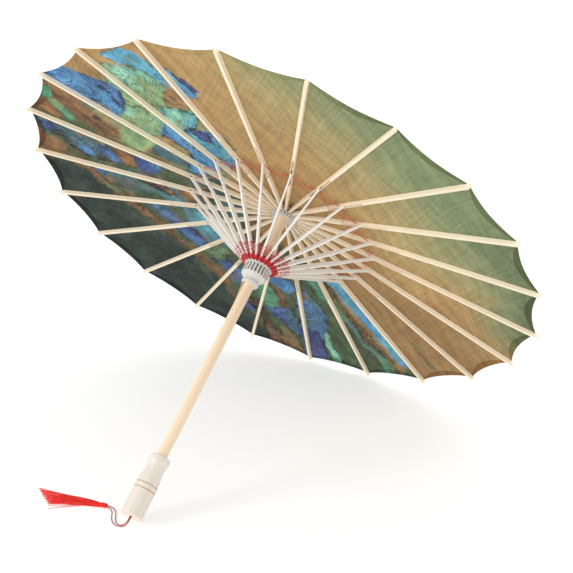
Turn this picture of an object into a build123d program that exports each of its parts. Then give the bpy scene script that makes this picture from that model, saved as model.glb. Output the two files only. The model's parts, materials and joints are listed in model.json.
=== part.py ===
from build123d import *
import os
from math import acos, atan2, cos, degrees, hypot, pi, radians, sin, tan

# Oil paper umbrella: 22 bamboo ribs under a painted silk canopy, held open by 22 struts from a
# sliding runner, with a turned handle, a crown cap and a red tassel. All sizes in millimetres.
#
# The umbrella is modelled upright first: +Z along the shaft towards the crown, with z = 0 at the
# rib hinges. It is then laid down as it rests open on a floor, on two rib ends and the butt of
# the handle. In that row frame +Z is up, the floor is z = 0, +Y runs from the handle towards the
# canopy, and the shaft lies in the plane x = 0.

# ---- driving dimensions -------------------------------------------------------------------
RIB_COUNT = 22
RIM_RADIUS = 410.0          # shaft axis to rib end, open
OPEN_DROOP = 6.06           # slope of a rib below the horizontal, open, degrees
CLOSED_DROOP = 86.5         # and closed

SHAFT_RADIUS = 8.0
HINGE_RADIUS = 17.0         # circle of the threads that the ribs and struts turn on
RING_RADIUS = 19.8          # outside of the slotted rings of hub and runner
THREAD_RADIUS = 0.55
EYE_RADIUS = 0.62           # holes that the threads run through
FIT_GAP = 0.03              # radial gap of glued and pegged fits
SLIDE_GAP = 0.06            # radial gap of the runner on the shaft

RUNNER_HINGE_Z = -96.0      # strut hinges, open
HUB_BOTTOM, HUB_TOP = -6.0, 7.0
HUB_SLOT_TOP = 3.6
RUNNER_TOP, RUNNER_BOTTOM = -90.0, -129.0
RUNNER_SLOT_BOTTOM = -113.5
SLOT_FLOOR_RADIUS = 13.3    # inner end of the slots in hub and runner
HUB_SLOT_WIDTH, RUNNER_SLOT_WIDTH = 2.8, 2.6
HANDLE_TOP, HANDLE_BUTT = -414.0, -502.0
HANDLE_RADIUS = 15.7
GRIP_TOP = -468.0           # the plain stretch of the handle begins here
BUTT_ROUND = 2.5
HOLE_RADIUS, HOLE_DEPTH = 2.4, 14.0
GROOVE_HEIGHTS = (-456.0, -463.6)
GROOVE_RADIUS = 0.6
CROWN_TOP = 36.0
SHAFT_TOP, SHAFT_FOOT = 16.0, -474.0

LINK_ALONG, LINK_BELOW = 135.0, 2.4     # strut eye, along the rib and below its centre line
RIB_ABOVE, RIB_BELOW = 1.4, 4.2         # cloth side and inner side of a rib, from its line
RIB_SPLAY = 1.2                         # a rib is this much wider on its cloth side
RIB_ROOT_WIDTH, RIB_WIDTH = 3.2, 4.4    # inner side, at the root and along the rest
TONGUE_WIDTH, TONGUE_LENGTH = 2.4, 9.5
RIB_BOSS_RADIUS = 2.8       # round end of a rib, about its hinge
RIB_TAPER_END = 60.0
RIB_SLOT = (98.0, 142.0)                # through slot that the strut swings in
RIB_POCKET_END, POCKET_CEILING = 182.0, 0.2
SLOT_WIDTH = 2.7

STRUT_THICK, STRUT_TONGUE = 3.0, 2.2
STRUT_HALF_DEPTH, STRUT_TIP_HALF_DEPTH = 3.2, 2.2
STRUT_ROOT_LENGTH, STRUT_TIP_LENGTH, STRUT_TAPER = 12.0, 48.0, 12.0

CLOTH_THICK = 0.5
CLOTH_GAP = 0.2
CLOTH_TIP_RADIUS = 407.0
SCALLOP = 8.0               # how far the rim is drawn in between two ribs

CATCH_AZIMUTH = 210.0
CATCH_PIN_Z, CATCH_TIP_Z = -176.0, -126.6
CATCH_PIN_DEPTH = 5.4       # distance of the catch's pin from the shaft axis
CATCH_WIDTH = 2.6
CATCH_TIP_RADIUS = 11.0     # how far the sprung tip stands out, under the runner
STOP_PEG_Z, STOP_PEG_RADIUS, STOP_PEG_LENGTH = -88.6, 1.1, 21.0
HUB_PEG_Z, HUB_PEG_RADIUS = 5.3, 1.0
CATCH_PEG_RADIUS, CATCH_PEG_LENGTH = 0.68, 9.0

CENTRE_RADIUS, SHOULDER_RADIUS, OUTSIDE_RADIUS = 21.0, 66.0, 430.0   # bends of the canopy
PATCH_RADIUS, PATCH_THICK = 26.0, 0.6
FLANGE_RADIUS = 15.4        # of the crown cap, on the patch
KNOB_RADIUS, KNOB_FLAT_RADIUS = 11.2, 5.0

CORD_DIAMETER = 1.3
BEYOND = 10.0               # cutters reach this far past what they cut

pitch = 360.0 / RIB_COUNT
droop = radians(OPEN_DROOP)
rib_length = (RIM_RADIUS - HINGE_RADIUS) / cos(droop)


# ---- the linkage --------------------------------------------------------------------------
def link_point(droop_deg):
    """Radius and height of the strut eye on a rib at this droop."""
    a = radians(droop_deg)
    r = HINGE_RADIUS + LINK_ALONG * cos(a) - LINK_BELOW * sin(a)
    return r, -LINK_ALONG * sin(a) - LINK_BELOW * cos(a)


open_r, open_z = link_point(OPEN_DROOP)
closed_r, closed_z = link_point(CLOSED_DROOP)
strut_length = hypot(open_r - HINGE_RADIUS, open_z - RUNNER_HINGE_Z)
strut_open = atan2(open_z - RUNNER_HINGE_Z, open_r - HINGE_RADIUS)
strut_closed = acos((closed_r - HINGE_RADIUS) / strut_length)
runner_travel = RUNNER_HINGE_Z - (closed_z - strut_length * sin(strut_closed))

# ---- how it lies --------------------------------------------------------------------------
# The floor touches the inner edges of two rib ends, half a pitch either side of the lowest
# line of the rim, and the rounded edge of the butt.
contact_r = (RIM_RADIUS - RIB_BELOW * sin(droop)) * cos(radians(pitch / 2))
contact_z = -rib_length * sin(droop) - RIB_BELOW * cos(droop)
edge_r = HANDLE_RADIUS - BUTT_ROUND
edge_z = HANDLE_BUTT + BUTT_ROUND
span = hypot(contact_r - edge_r, contact_z - edge_z)
lay = acos(BUTT_ROUND / span) - atan2(contact_z - edge_z, contact_r - edge_r)
HINGE_Y = 81.0              # rib hinges from the middle of the length on the floor
hinge_z = contact_r * cos(lay) - contact_z * sin(lay)
lie_down = Pos(0, HINGE_Y, hinge_z) * Rot(degrees(lay) - 90, 0, 0)


def around(index):
    """Azimuth of a rib, degrees; +Y, the lowest line, lies between the first and the last."""
    return 90 + (index + 0.5) * pitch


def rod_z(radius, bottom, top):
    return Pos(0, 0, (bottom + top) / 2) * Cylinder(radius, top - bottom)


def block(x0, x1, y0, y1, z0, z1):
    return Pos((x0 + x1) / 2, (y0 + y1) / 2, (z0 + z1) / 2) * Box(x1 - x0, y1 - y0, z1 - z0)


def turned(*outline):
    """A turned piece from its outline of (radius, height) points."""
    face = make_face(Polyline(*[(r, 0, z) for r, z in outline], close=True))
    return revolve(face, Axis.Z, 360)


def cross_pin(radius, length, z):
    return Pos(0, 0, z) * Rot(0, 90, 0) * Cylinder(radius, length)


def rod_y(radius, length, x=0, z=0):
    return Pos(x, 0, z) * Rot(90, 0, 0) * Cylinder(radius, length)


def around_all(cutter):
    return [Rot(0, 0, around(k)) * cutter for k in range(RIB_COUNT)]


# ---- ribs ---------------------------------------------------------------------------------
def wedge(t0, t1, width0, width1):
    """Stretch of rib from t0 to t1, with flat sides; width is that of the inner side."""
    corners = []
    for t, width in ((t0, width0), (t1, width1)):
        inner, outer = width / 2, (width + RIB_SPLAY) / 2
        corners.append([(t, -inner, -RIB_BELOW), (t, inner, -RIB_BELOW),
                        (t, outer, RIB_ABOVE), (t, -outer, RIB_ABOVE)])
    a, b = corners
    rings = [a, b] + [[a[i], a[(i + 1) % 4], b[(i + 1) % 4], b[i]] for i in range(4)]
    faces = [Face(Wire.make_polygon(ring, close=True)) for ring in rings]
    return Solid(Shell(faces))


def make_rib():
    """A rib along +X from its hinge at the origin, its cloth side up."""
    tongue_profile = [(0, -RIB_BOSS_RADIUS), (TONGUE_LENGTH, -RIB_BELOW),
                      (TONGUE_LENGTH, RIB_ABOVE), (0, RIB_BOSS_RADIUS)]
    tongue = extrude(Plane.XZ * make_face(Polyline(*tongue_profile, close=True)),
                     TONGUE_WIDTH / 2, both=True)
    eye = rod_y(RIB_BOSS_RADIUS, TONGUE_WIDTH)
    root = wedge(TONGUE_LENGTH, RIB_TAPER_END, RIB_ROOT_WIDTH, RIB_WIDTH)
    rest = wedge(RIB_TAPER_END, rib_length, RIB_WIDTH, RIB_WIDTH)
    rib = eye + tongue + root + rest
    nose = (RIB_WIDTH + RIB_SPLAY) / 2
    end_block = block(rib_length - nose, rib_length + BEYOND, -BEYOND, BEYOND, -BEYOND, BEYOND)
    end_round = Pos(rib_length - nose, 0, 0) * Cylinder(nose, 2 * BEYOND)
    half = SLOT_WIDTH / 2
    slot = block(RIB_SLOT[0], RIB_SLOT[1], -half, half, -BEYOND, BEYOND)
    pocket = block(RIB_SLOT[1], RIB_POCKET_END, -half, half, -BEYOND, POCKET_CEILING)
    hinge_eye = rod_y(EYE_RADIUS, BEYOND)
    link_eye = rod_y(EYE_RADIUS, BEYOND, LINK_ALONG, -LINK_BELOW)
    rib = rib - (end_block - end_round) - slot - pocket - hinge_eye - link_eye
    return Pos(HINGE_RADIUS, 0, 0) * Rot(0, OPEN_DROOP, 0) * rib


# ---- struts -------------------------------------------------------------------------------
def make_strut():
    """A strut from its hinge on the runner, rising outwards to the rib."""
    thin_from = strut_length - STRUT_TIP_LENGTH
    deep_to = thin_from - STRUT_TAPER
    deep, slim = STRUT_HALF_DEPTH, STRUT_TIP_HALF_DEPTH
    outline = [(0, -deep), (deep_to, -deep), (thin_from, -slim), (strut_length, -slim),
               (strut_length, slim), (thin_from, slim), (deep_to, deep), (0, deep)]
    strip = make_face(Polyline(*outline, close=True))
    blade = extrude(Plane.XZ * strip, STRUT_TONGUE / 2, both=True)
    middle = extrude(Plane.XZ * strip, STRUT_THICK / 2, both=True)
    middle = middle & block(STRUT_ROOT_LENGTH, thin_from, -BEYOND, BEYOND, -BEYOND, BEYOND)
    root_eye = rod_y(deep, STRUT_TONGUE)
    tip_eye = rod_y(slim, STRUT_TONGUE, strut_length)
    holes = [rod_y(EYE_RADIUS, BEYOND), rod_y(EYE_RADIUS, BEYOND, strut_length)]
    strut = blade + middle + root_eye + tip_eye - holes
    return Pos(HINGE_RADIUS, 0, RUNNER_HINGE_Z) * Rot(0, -degrees(strut_open), 0) * strut


# ---- hub, runner and threads --------------------------------------------------------------
hub_peg_hole = cross_pin(HUB_PEG_RADIUS + FIT_GAP, 3 * RING_RADIUS, HUB_PEG_Z)


def thread_ring(z, radius):
    return Pos(0, 0, z) * Torus(HINGE_RADIUS, radius)


def ring_slots(width, bottom, top):
    """Cutters for the slots of a ring, one for each rib or strut."""
    reach = RING_RADIUS + BEYOND
    return around_all(block(SLOT_FLOOR_RADIUS, reach, -width / 2, width / 2, bottom, top))


def make_hub():
    body = turned((SHAFT_RADIUS + FIT_GAP, HUB_BOTTOM), (RING_RADIUS - 0.8, HUB_BOTTOM),
                  (RING_RADIUS, HUB_BOTTOM + 0.8), (RING_RADIUS, HUB_TOP - 1.5),
                  (RING_RADIUS - 1.5, HUB_TOP), (SHAFT_RADIUS + FIT_GAP, HUB_TOP))
    slots = ring_slots(HUB_SLOT_WIDTH, HUB_BOTTOM - BEYOND, HUB_SLOT_TOP)
    return body - slots - thread_ring(0, THREAD_RADIUS + FIT_GAP) - hub_peg_hole


def make_runner():
    bore = SHAFT_RADIUS + SLIDE_GAP
    neck = 11.4
    body = turned((bore, RUNNER_TOP), (RING_RADIUS, RUNNER_TOP), (RING_RADIUS, -112.0),
                  (19.0, -114.6), (17.2, -116.8), (14.6, -118.6), (12.4, -119.8), (neck, -121.0),
                  (neck, -121.8), (12.3, -122.6), (13.0, -123.8), (13.2, -125.4),
                  (13.0, -127.4), (12.3, -128.5), (11.4, RUNNER_BOTTOM), (bore, RUNNER_BOTTOM))
    slots = ring_slots(RUNNER_SLOT_WIDTH, RUNNER_SLOT_BOTTOM, RUNNER_TOP + BEYOND)
    side, depth = CATCH_WIDTH / 2 + 0.9, CATCH_TIP_RADIUS + 1.0
    pocket = block(bore - 1, depth, -side, side, RUNNER_BOTTOM - BEYOND, CATCH_TIP_Z + 0.6)
    ring = thread_ring(RUNNER_HINGE_Z, THREAD_RADIUS + FIT_GAP)
    return body - slots - Rot(0, 0, CATCH_AZIMUTH) * pocket - ring


# ---- shaft, pegs and catch ----------------------------------------------------------------
def make_shaft():
    body = rod_z(SHAFT_RADIUS, SHAFT_FOOT, SHAFT_TOP)
    side = CATCH_WIDTH / 2 + 0.3
    slot = block(CATCH_PIN_DEPTH - 2.0, SHAFT_RADIUS + BEYOND, -side, side,
                 CATCH_PIN_Z - 3.2, CATCH_TIP_Z + 1.6)
    peg_hole = rod_y(CATCH_PEG_RADIUS + 0.02, 2 * RING_RADIUS, CATCH_PIN_DEPTH, CATCH_PIN_Z)
    stop_hole = cross_pin(STOP_PEG_RADIUS + FIT_GAP, 2 * RING_RADIUS, STOP_PEG_Z)
    turn = Rot(0, 0, CATCH_AZIMUTH)
    return body - turn * slot - turn * peg_hole - hub_peg_hole - stop_hole


def make_catch():
    """Sprung leaf in the shaft's slot; its tip stands out under the runner."""
    half = 1.1
    outline = [(CATCH_PIN_DEPTH - half, CATCH_PIN_Z), (7.6, -140.0),
               (CATCH_TIP_RADIUS - 2.3, CATCH_TIP_Z), (CATCH_TIP_RADIUS, CATCH_TIP_Z),
               (CATCH_TIP_RADIUS, -130.5), (CATCH_PIN_DEPTH + half, CATCH_PIN_Z)]
    leaf = extrude(Plane.XZ * make_face(Polyline(*outline, close=True)), CATCH_WIDTH / 2, both=True)
    leaf = leaf + rod_y(1.5, CATCH_WIDTH, CATCH_PIN_DEPTH, CATCH_PIN_Z)
    leaf = leaf - rod_y(CATCH_PEG_RADIUS + 0.07, BEYOND, CATCH_PIN_DEPTH, CATCH_PIN_Z)
    return Rot(0, 0, CATCH_AZIMUTH) * leaf


def make_pegs():
    """Three pegs across the shaft: through the hub, above the runner, and in the catch's eye."""
    hub_peg = cross_pin(HUB_PEG_RADIUS, 2 * RING_RADIUS - 0.6, HUB_PEG_Z)
    stop_peg = cross_pin(STOP_PEG_RADIUS, STOP_PEG_LENGTH, STOP_PEG_Z)
    catch_peg = rod_y(CATCH_PEG_RADIUS, CATCH_PEG_LENGTH, CATCH_PIN_DEPTH, CATCH_PIN_Z)
    return Compound([hub_peg, stop_peg, Rot(0, 0, CATCH_AZIMUTH) * catch_peg])


# ---- handle and crown ---------------------------------------------------------------------
def make_handle():
    """Collar, waisted neck, plain grip with two grooves above it, rounded butt with a hole."""
    profile = Polyline((SHAFT_RADIUS + FIT_GAP, 0, HANDLE_TOP), (14.0, 0, HANDLE_TOP),
                       (14.9, 0, HANDLE_TOP - 1.2), (15.2, 0, HANDLE_TOP - 6.5))
    neck = Spline((15.2, 0, HANDLE_TOP - 6.5), (13.7, 0, -430.0), (14.7, 0, -446.0),
                  (HANDLE_RADIUS, 0, GRIP_TOP), tangents=[(-0.2, 0, -1), (0, 0, -1)])
    rest = Polyline((HANDLE_RADIUS, 0, GRIP_TOP), (HANDLE_RADIUS, 0, HANDLE_BUTT),
                    (0, 0, HANDLE_BUTT), (0, 0, SHAFT_FOOT), (SHAFT_RADIUS + FIT_GAP, 0, SHAFT_FOOT),
                    (SHAFT_RADIUS + FIT_GAP, 0, HANDLE_TOP))
    body = revolve(make_face(profile + neck + rest), Axis.Z, 360)
    butt_edges = body.edges().filter_by(GeomType.CIRCLE).sort_by(Axis.Z)
    body = fillet(butt_edges[0], BUTT_ROUND)
    hole = rod_z(HOLE_RADIUS, HANDLE_BUTT - BEYOND, HANDLE_BUTT + HOLE_DEPTH)
    grooves = [Pos(0, 0, z) * Torus(HANDLE_RADIUS - 0.1, GROOVE_RADIUS) for z in GROOVE_HEIGHTS]
    return body - hole - grooves


def make_cap():
    """Turned crown cap: a flange on the cloth, a waist and a knob with a small flat top."""
    base = cap_base
    bore = SHAFT_RADIUS + FIT_GAP
    shoulder = (FLANGE_RADIUS - 0.8, 0, base + 2.6)
    profile = Polyline((bore, 0, base), (FLANGE_RADIUS - 0.4, 0, base),
                       (FLANGE_RADIUS, 0, base + 1.0), shoulder)
    waist = Spline(shoulder, (10.6, 0, 16.0), (9.6, 0, 20.0), (10.6, 0, 24.0),
                   (KNOB_RADIUS, 0, 28.0), (9.6, 0, 32.6), (KNOB_FLAT_RADIUS, 0, CROWN_TOP))
    rest = Polyline((KNOB_FLAT_RADIUS, 0, CROWN_TOP), (0, 0, CROWN_TOP), (0, 0, SHAFT_TOP),
                    (bore, 0, SHAFT_TOP), (bore, 0, base))
    return revolve(make_face(profile + waist + rest), Axis.Z, 360)


# ---- canopy -------------------------------------------------------------------------------
cloth_base = HUB_TOP + 0.05
patch_lift = CLOTH_THICK + 0.02
cap_base = cloth_base + patch_lift + PATCH_THICK + 0.03
shaft_hole = rod_z(SHAFT_RADIUS + 0.4, -HANDLE_RADIUS, CROWN_TOP)


def rib_top(radius):
    """Height of the ribs' cloth side, with the gap to the cloth."""
    return -(radius - HINGE_RADIUS) * tan(droop) + RIB_ABOVE / cos(droop) + CLOTH_GAP


def tent(lift):
    """Solid under the cloth: a low pyramid whose edges follow the ribs."""
    stations = ((OUTSIDE_RADIUS, rib_top(OUTSIDE_RADIUS)), (SHOULDER_RADIUS, rib_top(SHOULDER_RADIUS)),
                (CENTRE_RADIUS, cloth_base))
    rings = []
    for radius, z in stations:
        ring = RegularPolygon(radius, RIB_COUNT, rotation=around(0))
        rings.append(Pos(0, 0, z + lift) * ring)
    return loft(rings, ruled=True)


def make_canopy():
    sheet = tent(CLOTH_THICK) - tent(0)
    mid_radius = CLOTH_TIP_RADIUS * cos(radians(pitch / 2)) - SCALLOP
    edge = []
    for k in range(RIB_COUNT):
        a, m, b = (radians(around(k) + step * pitch) for step in (0, 0.5, 1))
        edge.append(ThreePointArc((CLOTH_TIP_RADIUS * cos(a), CLOTH_TIP_RADIUS * sin(a)),
                                  (mid_radius * cos(m), mid_radius * sin(m)),
                                  (CLOTH_TIP_RADIUS * cos(b), CLOTH_TIP_RADIUS * sin(b))))
    outline = extrude(make_face(Curve() + edge), 2 * SHOULDER_RADIUS, both=True)
    return (sheet & outline) - shaft_hole


def make_patch():
    """Round patch of cloth glued over the middle of the canopy, under the cap."""
    sheet = tent(patch_lift + PATCH_THICK) - tent(patch_lift)
    return (sheet & rod_z(PATCH_RADIUS, -PATCH_RADIUS, CROWN_TOP)) - shaft_hole


# ---- tassel, lying on the floor, in the row frame -----------------------------------------
# The doubled cord leaves the hole in the butt beside the peg, drops to the floor and lies in
# an S towards -X, to the knot that gathers the skirt of the tassel.
CORD_ROUTES = {
    "tassel_cord_outer": [(0.75, -297.1, 13.5), (0.75, -303.3, 8.2), (0.2, -309.6, 2.8),
                          (-5.5, -315.0, 0.8), (-15.0, -315.6, 0.8), (-24.5, -309.8, 0.8),
                          (-31.5, -300.5, 0.8), (-36.8, -292.2, 0.9), (-43.7, -287.9, 2.5),
                          (-49.6, -289.0, 3.2)],
    "tassel_cord_inner": [(-0.75, -297.1, 13.5), (-0.75, -303.0, 8.4), (-1.6, -308.6, 3.8),
                          (-7.0, -312.6, 0.9), (-14.5, -312.0, 0.8), (-22.0, -305.0, 0.8),
                          (-27.5, -296.5, 0.8), (-34.0, -288.0, 1.2), (-42.8, -284.6, 2.9),
                          (-50.0, -287.0, 3.4)],
}
KNOT_RADIUS = 3.7
KNOT_ENDS = ((-49.8, -288.0), (-58.6, -289.8))
# Plan of the skirt: it leaves the knot, fans out, and its threads end on a slant.
SKIRT_PLAN = [(-58.6, -287.0), (-70.0, -284.0), (-103.0, -289.5), (-158.0, -300.0),
              (-121.5, -324.5), (-95.0, -310.5), (-76.0, -301.0), (-58.6, -292.6)]
SKIRT_FLOOR_GAP, SKIRT_HEIGHT = 0.2, 4.4


def corner_radii(points):
    """0.45 of the shorter run over the tangent of half the turn, at each corner."""
    radii = []
    for a, b, c in zip(points, points[1:], points[2:]):
        arrive, leave = Vector(*b) - Vector(*a), Vector(*c) - Vector(*b)
        turn = radians(arrive.get_angle(leave))
        radii.append(0.45 * min(arrive.length, leave.length) / tan(turn / 2))
    return radii


def make_cord(points):
    radii = corner_radii(points)
    path = FilletPolyline(*points, radius=radii)
    start = Plane(origin=path @ 0, z_dir=path % 0)
    tube = sweep(start * Circle(CORD_DIAMETER / 2), path=path)
    return tube, path, radii


def make_knot():
    (x0, y0), (x1, y1) = KNOT_ENDS
    length = hypot(x1 - x0, y1 - y0)
    barrel = Rot(0, 90, 0) * Cylinder(KNOT_RADIUS, length)
    barrel = fillet(barrel.edges().filter_by(GeomType.CIRCLE), 1.6)
    turn = degrees(atan2(y1 - y0, x1 - x0))
    return Pos((x0 + x1) / 2, (y0 + y1) / 2, KNOT_RADIUS) * Rot(0, 0, turn) * barrel


def make_skirt():
    """Threads of the tassel as one flat fan lying on the floor."""
    plan = make_face(Polyline(*SKIRT_PLAN, close=True))
    fan = extrude(Pos(0, 0, SKIRT_FLOOR_GAP) * plan, SKIRT_HEIGHT)
    return chamfer(fan.faces().sort_by(Axis.Z)[-1].edges(), 1.2)


# ---- all nodes ----------------------------------------------------------------------------
def main():
    os.makedirs("parts", exist_ok=True)
    nodes = {
        "shaft": make_shaft(),
        "handle": make_handle(),
        "crown_hub": make_hub(),
        "crown_cap": make_cap(),
        "crown_patch": make_patch(),
        "hub_thread": thread_ring(0, THREAD_RADIUS),
        "canopy": make_canopy(),
        "runner": make_runner(),
        "runner_thread": thread_ring(RUNNER_HINGE_Z, THREAD_RADIUS),
        "spring_catch": make_catch(),
        "shaft_pegs": make_pegs(),
        "cord_peg": rod_z(HOLE_RADIUS - FIT_GAP, HANDLE_BUTT + 4.0, HANDLE_BUTT + HOLE_DEPTH),
    }
    rib, strut = make_rib(), make_strut()
    for k in range(RIB_COUNT):
        nodes[f"rib_{k + 1:02d}"] = Rot(0, 0, around(k)) * rib
        nodes[f"strut_{k + 1:02d}"] = Rot(0, 0, around(k)) * strut
    nodes = {name: lie_down * shape for name, shape in nodes.items()}
    for name, points in CORD_ROUTES.items():
        tube, path, radii = make_cord(points)
        expected = pi * CORD_DIAMETER ** 2 / 4 * path.length
        print(name, "length", round(path.length, 1), "volume ratio", round(tube.volume / expected, 4),
              "radii", [round(r, 1) for r in radii])
        nodes[name] = tube
    nodes["tassel_knot"] = make_knot()
    nodes["tassel_skirt"] = make_skirt()
    for name, shape in nodes.items():
        export_step(shape, f"parts/{name}.step")
    print("nodes", len(nodes), "lay", round(degrees(lay), 4), "hinge height", round(hinge_z, 4))
    print("strut length", round(strut_length, 4), "runner travel", round(runner_travel, 4))
    print("strut angles", round(degrees(strut_open), 4), round(degrees(strut_closed), 4))


main()
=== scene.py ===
"""Looks of the oil paper umbrella: painted silk, threads, tassel, materials, floor and light."""
import json
from math import cos, pi, radians, sin, tan

import bpy
import numpy as np
from mathutils import Matrix, Vector


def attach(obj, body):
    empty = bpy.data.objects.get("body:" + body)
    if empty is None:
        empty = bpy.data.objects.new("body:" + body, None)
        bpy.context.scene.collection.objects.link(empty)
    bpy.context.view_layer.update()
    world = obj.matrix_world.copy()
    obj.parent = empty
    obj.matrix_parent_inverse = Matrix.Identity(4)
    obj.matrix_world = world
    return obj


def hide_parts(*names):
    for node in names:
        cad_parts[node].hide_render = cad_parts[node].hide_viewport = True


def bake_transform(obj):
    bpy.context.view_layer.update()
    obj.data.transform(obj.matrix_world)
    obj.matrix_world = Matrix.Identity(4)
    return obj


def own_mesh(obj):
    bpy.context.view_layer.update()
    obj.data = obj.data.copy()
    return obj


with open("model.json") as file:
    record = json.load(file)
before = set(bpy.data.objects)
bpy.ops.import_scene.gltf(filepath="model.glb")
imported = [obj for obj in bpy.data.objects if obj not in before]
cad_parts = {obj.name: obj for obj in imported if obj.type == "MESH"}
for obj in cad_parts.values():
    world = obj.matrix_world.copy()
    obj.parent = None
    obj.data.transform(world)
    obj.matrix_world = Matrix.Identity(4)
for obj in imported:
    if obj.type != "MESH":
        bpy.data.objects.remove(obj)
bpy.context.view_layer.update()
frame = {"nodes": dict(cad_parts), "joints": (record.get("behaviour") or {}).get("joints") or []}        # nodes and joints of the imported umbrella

# ---- the umbrella's own frame ----
# Looks are built upright, in metres: +Z along the shaft to the crown, z = 0 at the rib hinges,
# -Y towards the highest point of the rim, and laid down with the frame's own axes at the end.
MM = 0.001
JOINTS = {joint["name"]: joint for joint in frame["joints"]}
RIB_COUNT = sum(name.startswith("rib_") for name in JOINTS)
PITCH = 2 * pi / RIB_COUNT
RIB_HINGES = [Vector(JOINTS[f"rib_{k + 1:02d}_hinge"]["pos_m"]) for k in range(RIB_COUNT)]
CENTRE = sum(RIB_HINGES, Vector()) / RIB_COUNT
SHAFT_AXIS = Vector(JOINTS["runner_slide"]["axis"]).normalized()
SIDE_AXIS = Vector((1, 0, 0))
LOW_AXIS = SHAFT_AXIS.cross(SIDE_AXIS)
HINGE_RADIUS = (RIB_HINGES[0] - CENTRE).length
RUNNER_HINGE_Z = (Vector(JOINTS["strut_01_hinge"]["pos_m"]) - CENTRE).dot(SHAFT_AXIS)

DROOP = radians(6.06)            # slope of an open rib
STRUT_RISE = radians(30.6376)    # and of an open strut
RIB_ABOVE = 1.4 * MM             # from the hinge to the top of a rib
LINK_ALONG = 135 * MM            # strut eye, along the rib
CLOTH_THICK, CLOTH_GAP = 0.5 * MM, 0.2 * MM
CLOTH_CENTRE, CLOTH_SHOULDER, CLOTH_TIP = 21 * MM, 66 * MM, 407 * MM
CLOTH_BASE_Z = 7.05 * MM
SCALLOP = 8 * MM
GROOVE_HEIGHTS = (-456.0 * MM, -463.6 * MM)
BUTT_END = -502 * MM

LAY_DOWN = np.array([SIDE_AXIS, LOW_AXIS, SHAFT_AXIS])


def to_row(points):
    """Upright points, in metres, to the row frame."""
    return np.asarray(points, float) @ LAY_DOWN + np.array(CENTRE)


def to_upright(points):
    """Row points, in metres, to the upright frame."""
    return (np.asarray(points, float) - np.array(CENTRE)) @ LAY_DOWN.T


def azimuth(k):
    """Azimuth of rib k about the shaft, counted from 0."""
    return pi / 2 + (k + 0.5) * PITCH


def turned_to(points, angle):
    """Points built along +X, turned about the shaft."""
    c, s = cos(angle), sin(angle)
    x, y, z = np.asarray(points, float).T
    return np.stack([c * x - s * y, s * x + c * y, z], axis=1)


# ---- colour and noise ----
def linear(rgb):
    """A colour in sRGB, 0 to 255, as linear light."""
    c = np.asarray(rgb, float) / 255
    return np.where(c <= 0.04045, c / 12.92, ((c + 0.055) / 1.055) ** 2.4)


def smooth(t):
    t = np.clip(t, 0, 1)
    return t * t * (3 - 2 * t)


def value_noise(x, y, seed):
    """Smooth random field from -1 to 1, one random value at each whole number."""
    size = 64
    table = np.random.default_rng(seed).uniform(-1, 1, (size, size))
    xi, yi = np.floor(x).astype(int), np.floor(y).astype(int)
    fx, fy = smooth(x - xi), smooth(y - yi)
    row0, row1 = yi % size, (yi + 1) % size
    col0, col1 = xi % size, (xi + 1) % size
    low = table[row0, col0] * (1 - fx) + table[row0, col1] * fx
    high = table[row1, col0] * (1 - fx) + table[row1, col1] * fx
    return low * (1 - fy) + high * fy


def clouds(x, y, size, seed):
    """Three octaves of noise whose largest blotches are this size."""
    total = 0
    for octave in range(3):
        step = 2 ** octave / size
        total = total + value_noise(x * step, y * step, seed + octave) / 2 ** octave
    return total / 1.75


# ---- the painting ----
# A blue-green landscape on golden silk. Plan coordinates are millimetres from the shaft, x to
# the right and y up the picture. A patch is its two pigments, the width of its edge, the angle
# of its brush marks in degrees, how much ink they carry, and its outline.
PIGMENTS = {
    "gold": (180, 146, 98), "sand": (168, 132, 86), "clay": (158, 116, 76), "tan": (144, 115, 77),
    "straw": (172, 157, 109), "fern": (130, 143, 106), "rim_green": (104, 116, 86),
    "earth": (128, 94, 62), "umber": (80, 58, 46), "rust": (166, 84, 46),
    "olive": (112, 112, 76), "moss": (78, 94, 68), "pine": (60, 74, 64), "night": (46, 56, 52),
    "dusk": (78, 86, 66), "sage": (122, 146, 108), "leaf": (146, 170, 118), "jade": (94, 150, 118),
    "teal": (140, 196, 171), "lagoon": (98, 166, 180), "sky": (112, 180, 212),
    "azure": (92, 152, 195), "slate": (82, 112, 120), "steel": (84, 124, 172),
    "indigo": (72, 88, 142), "violet": (86, 80, 126), "basalt": (58, 58, 58),
}
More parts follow.
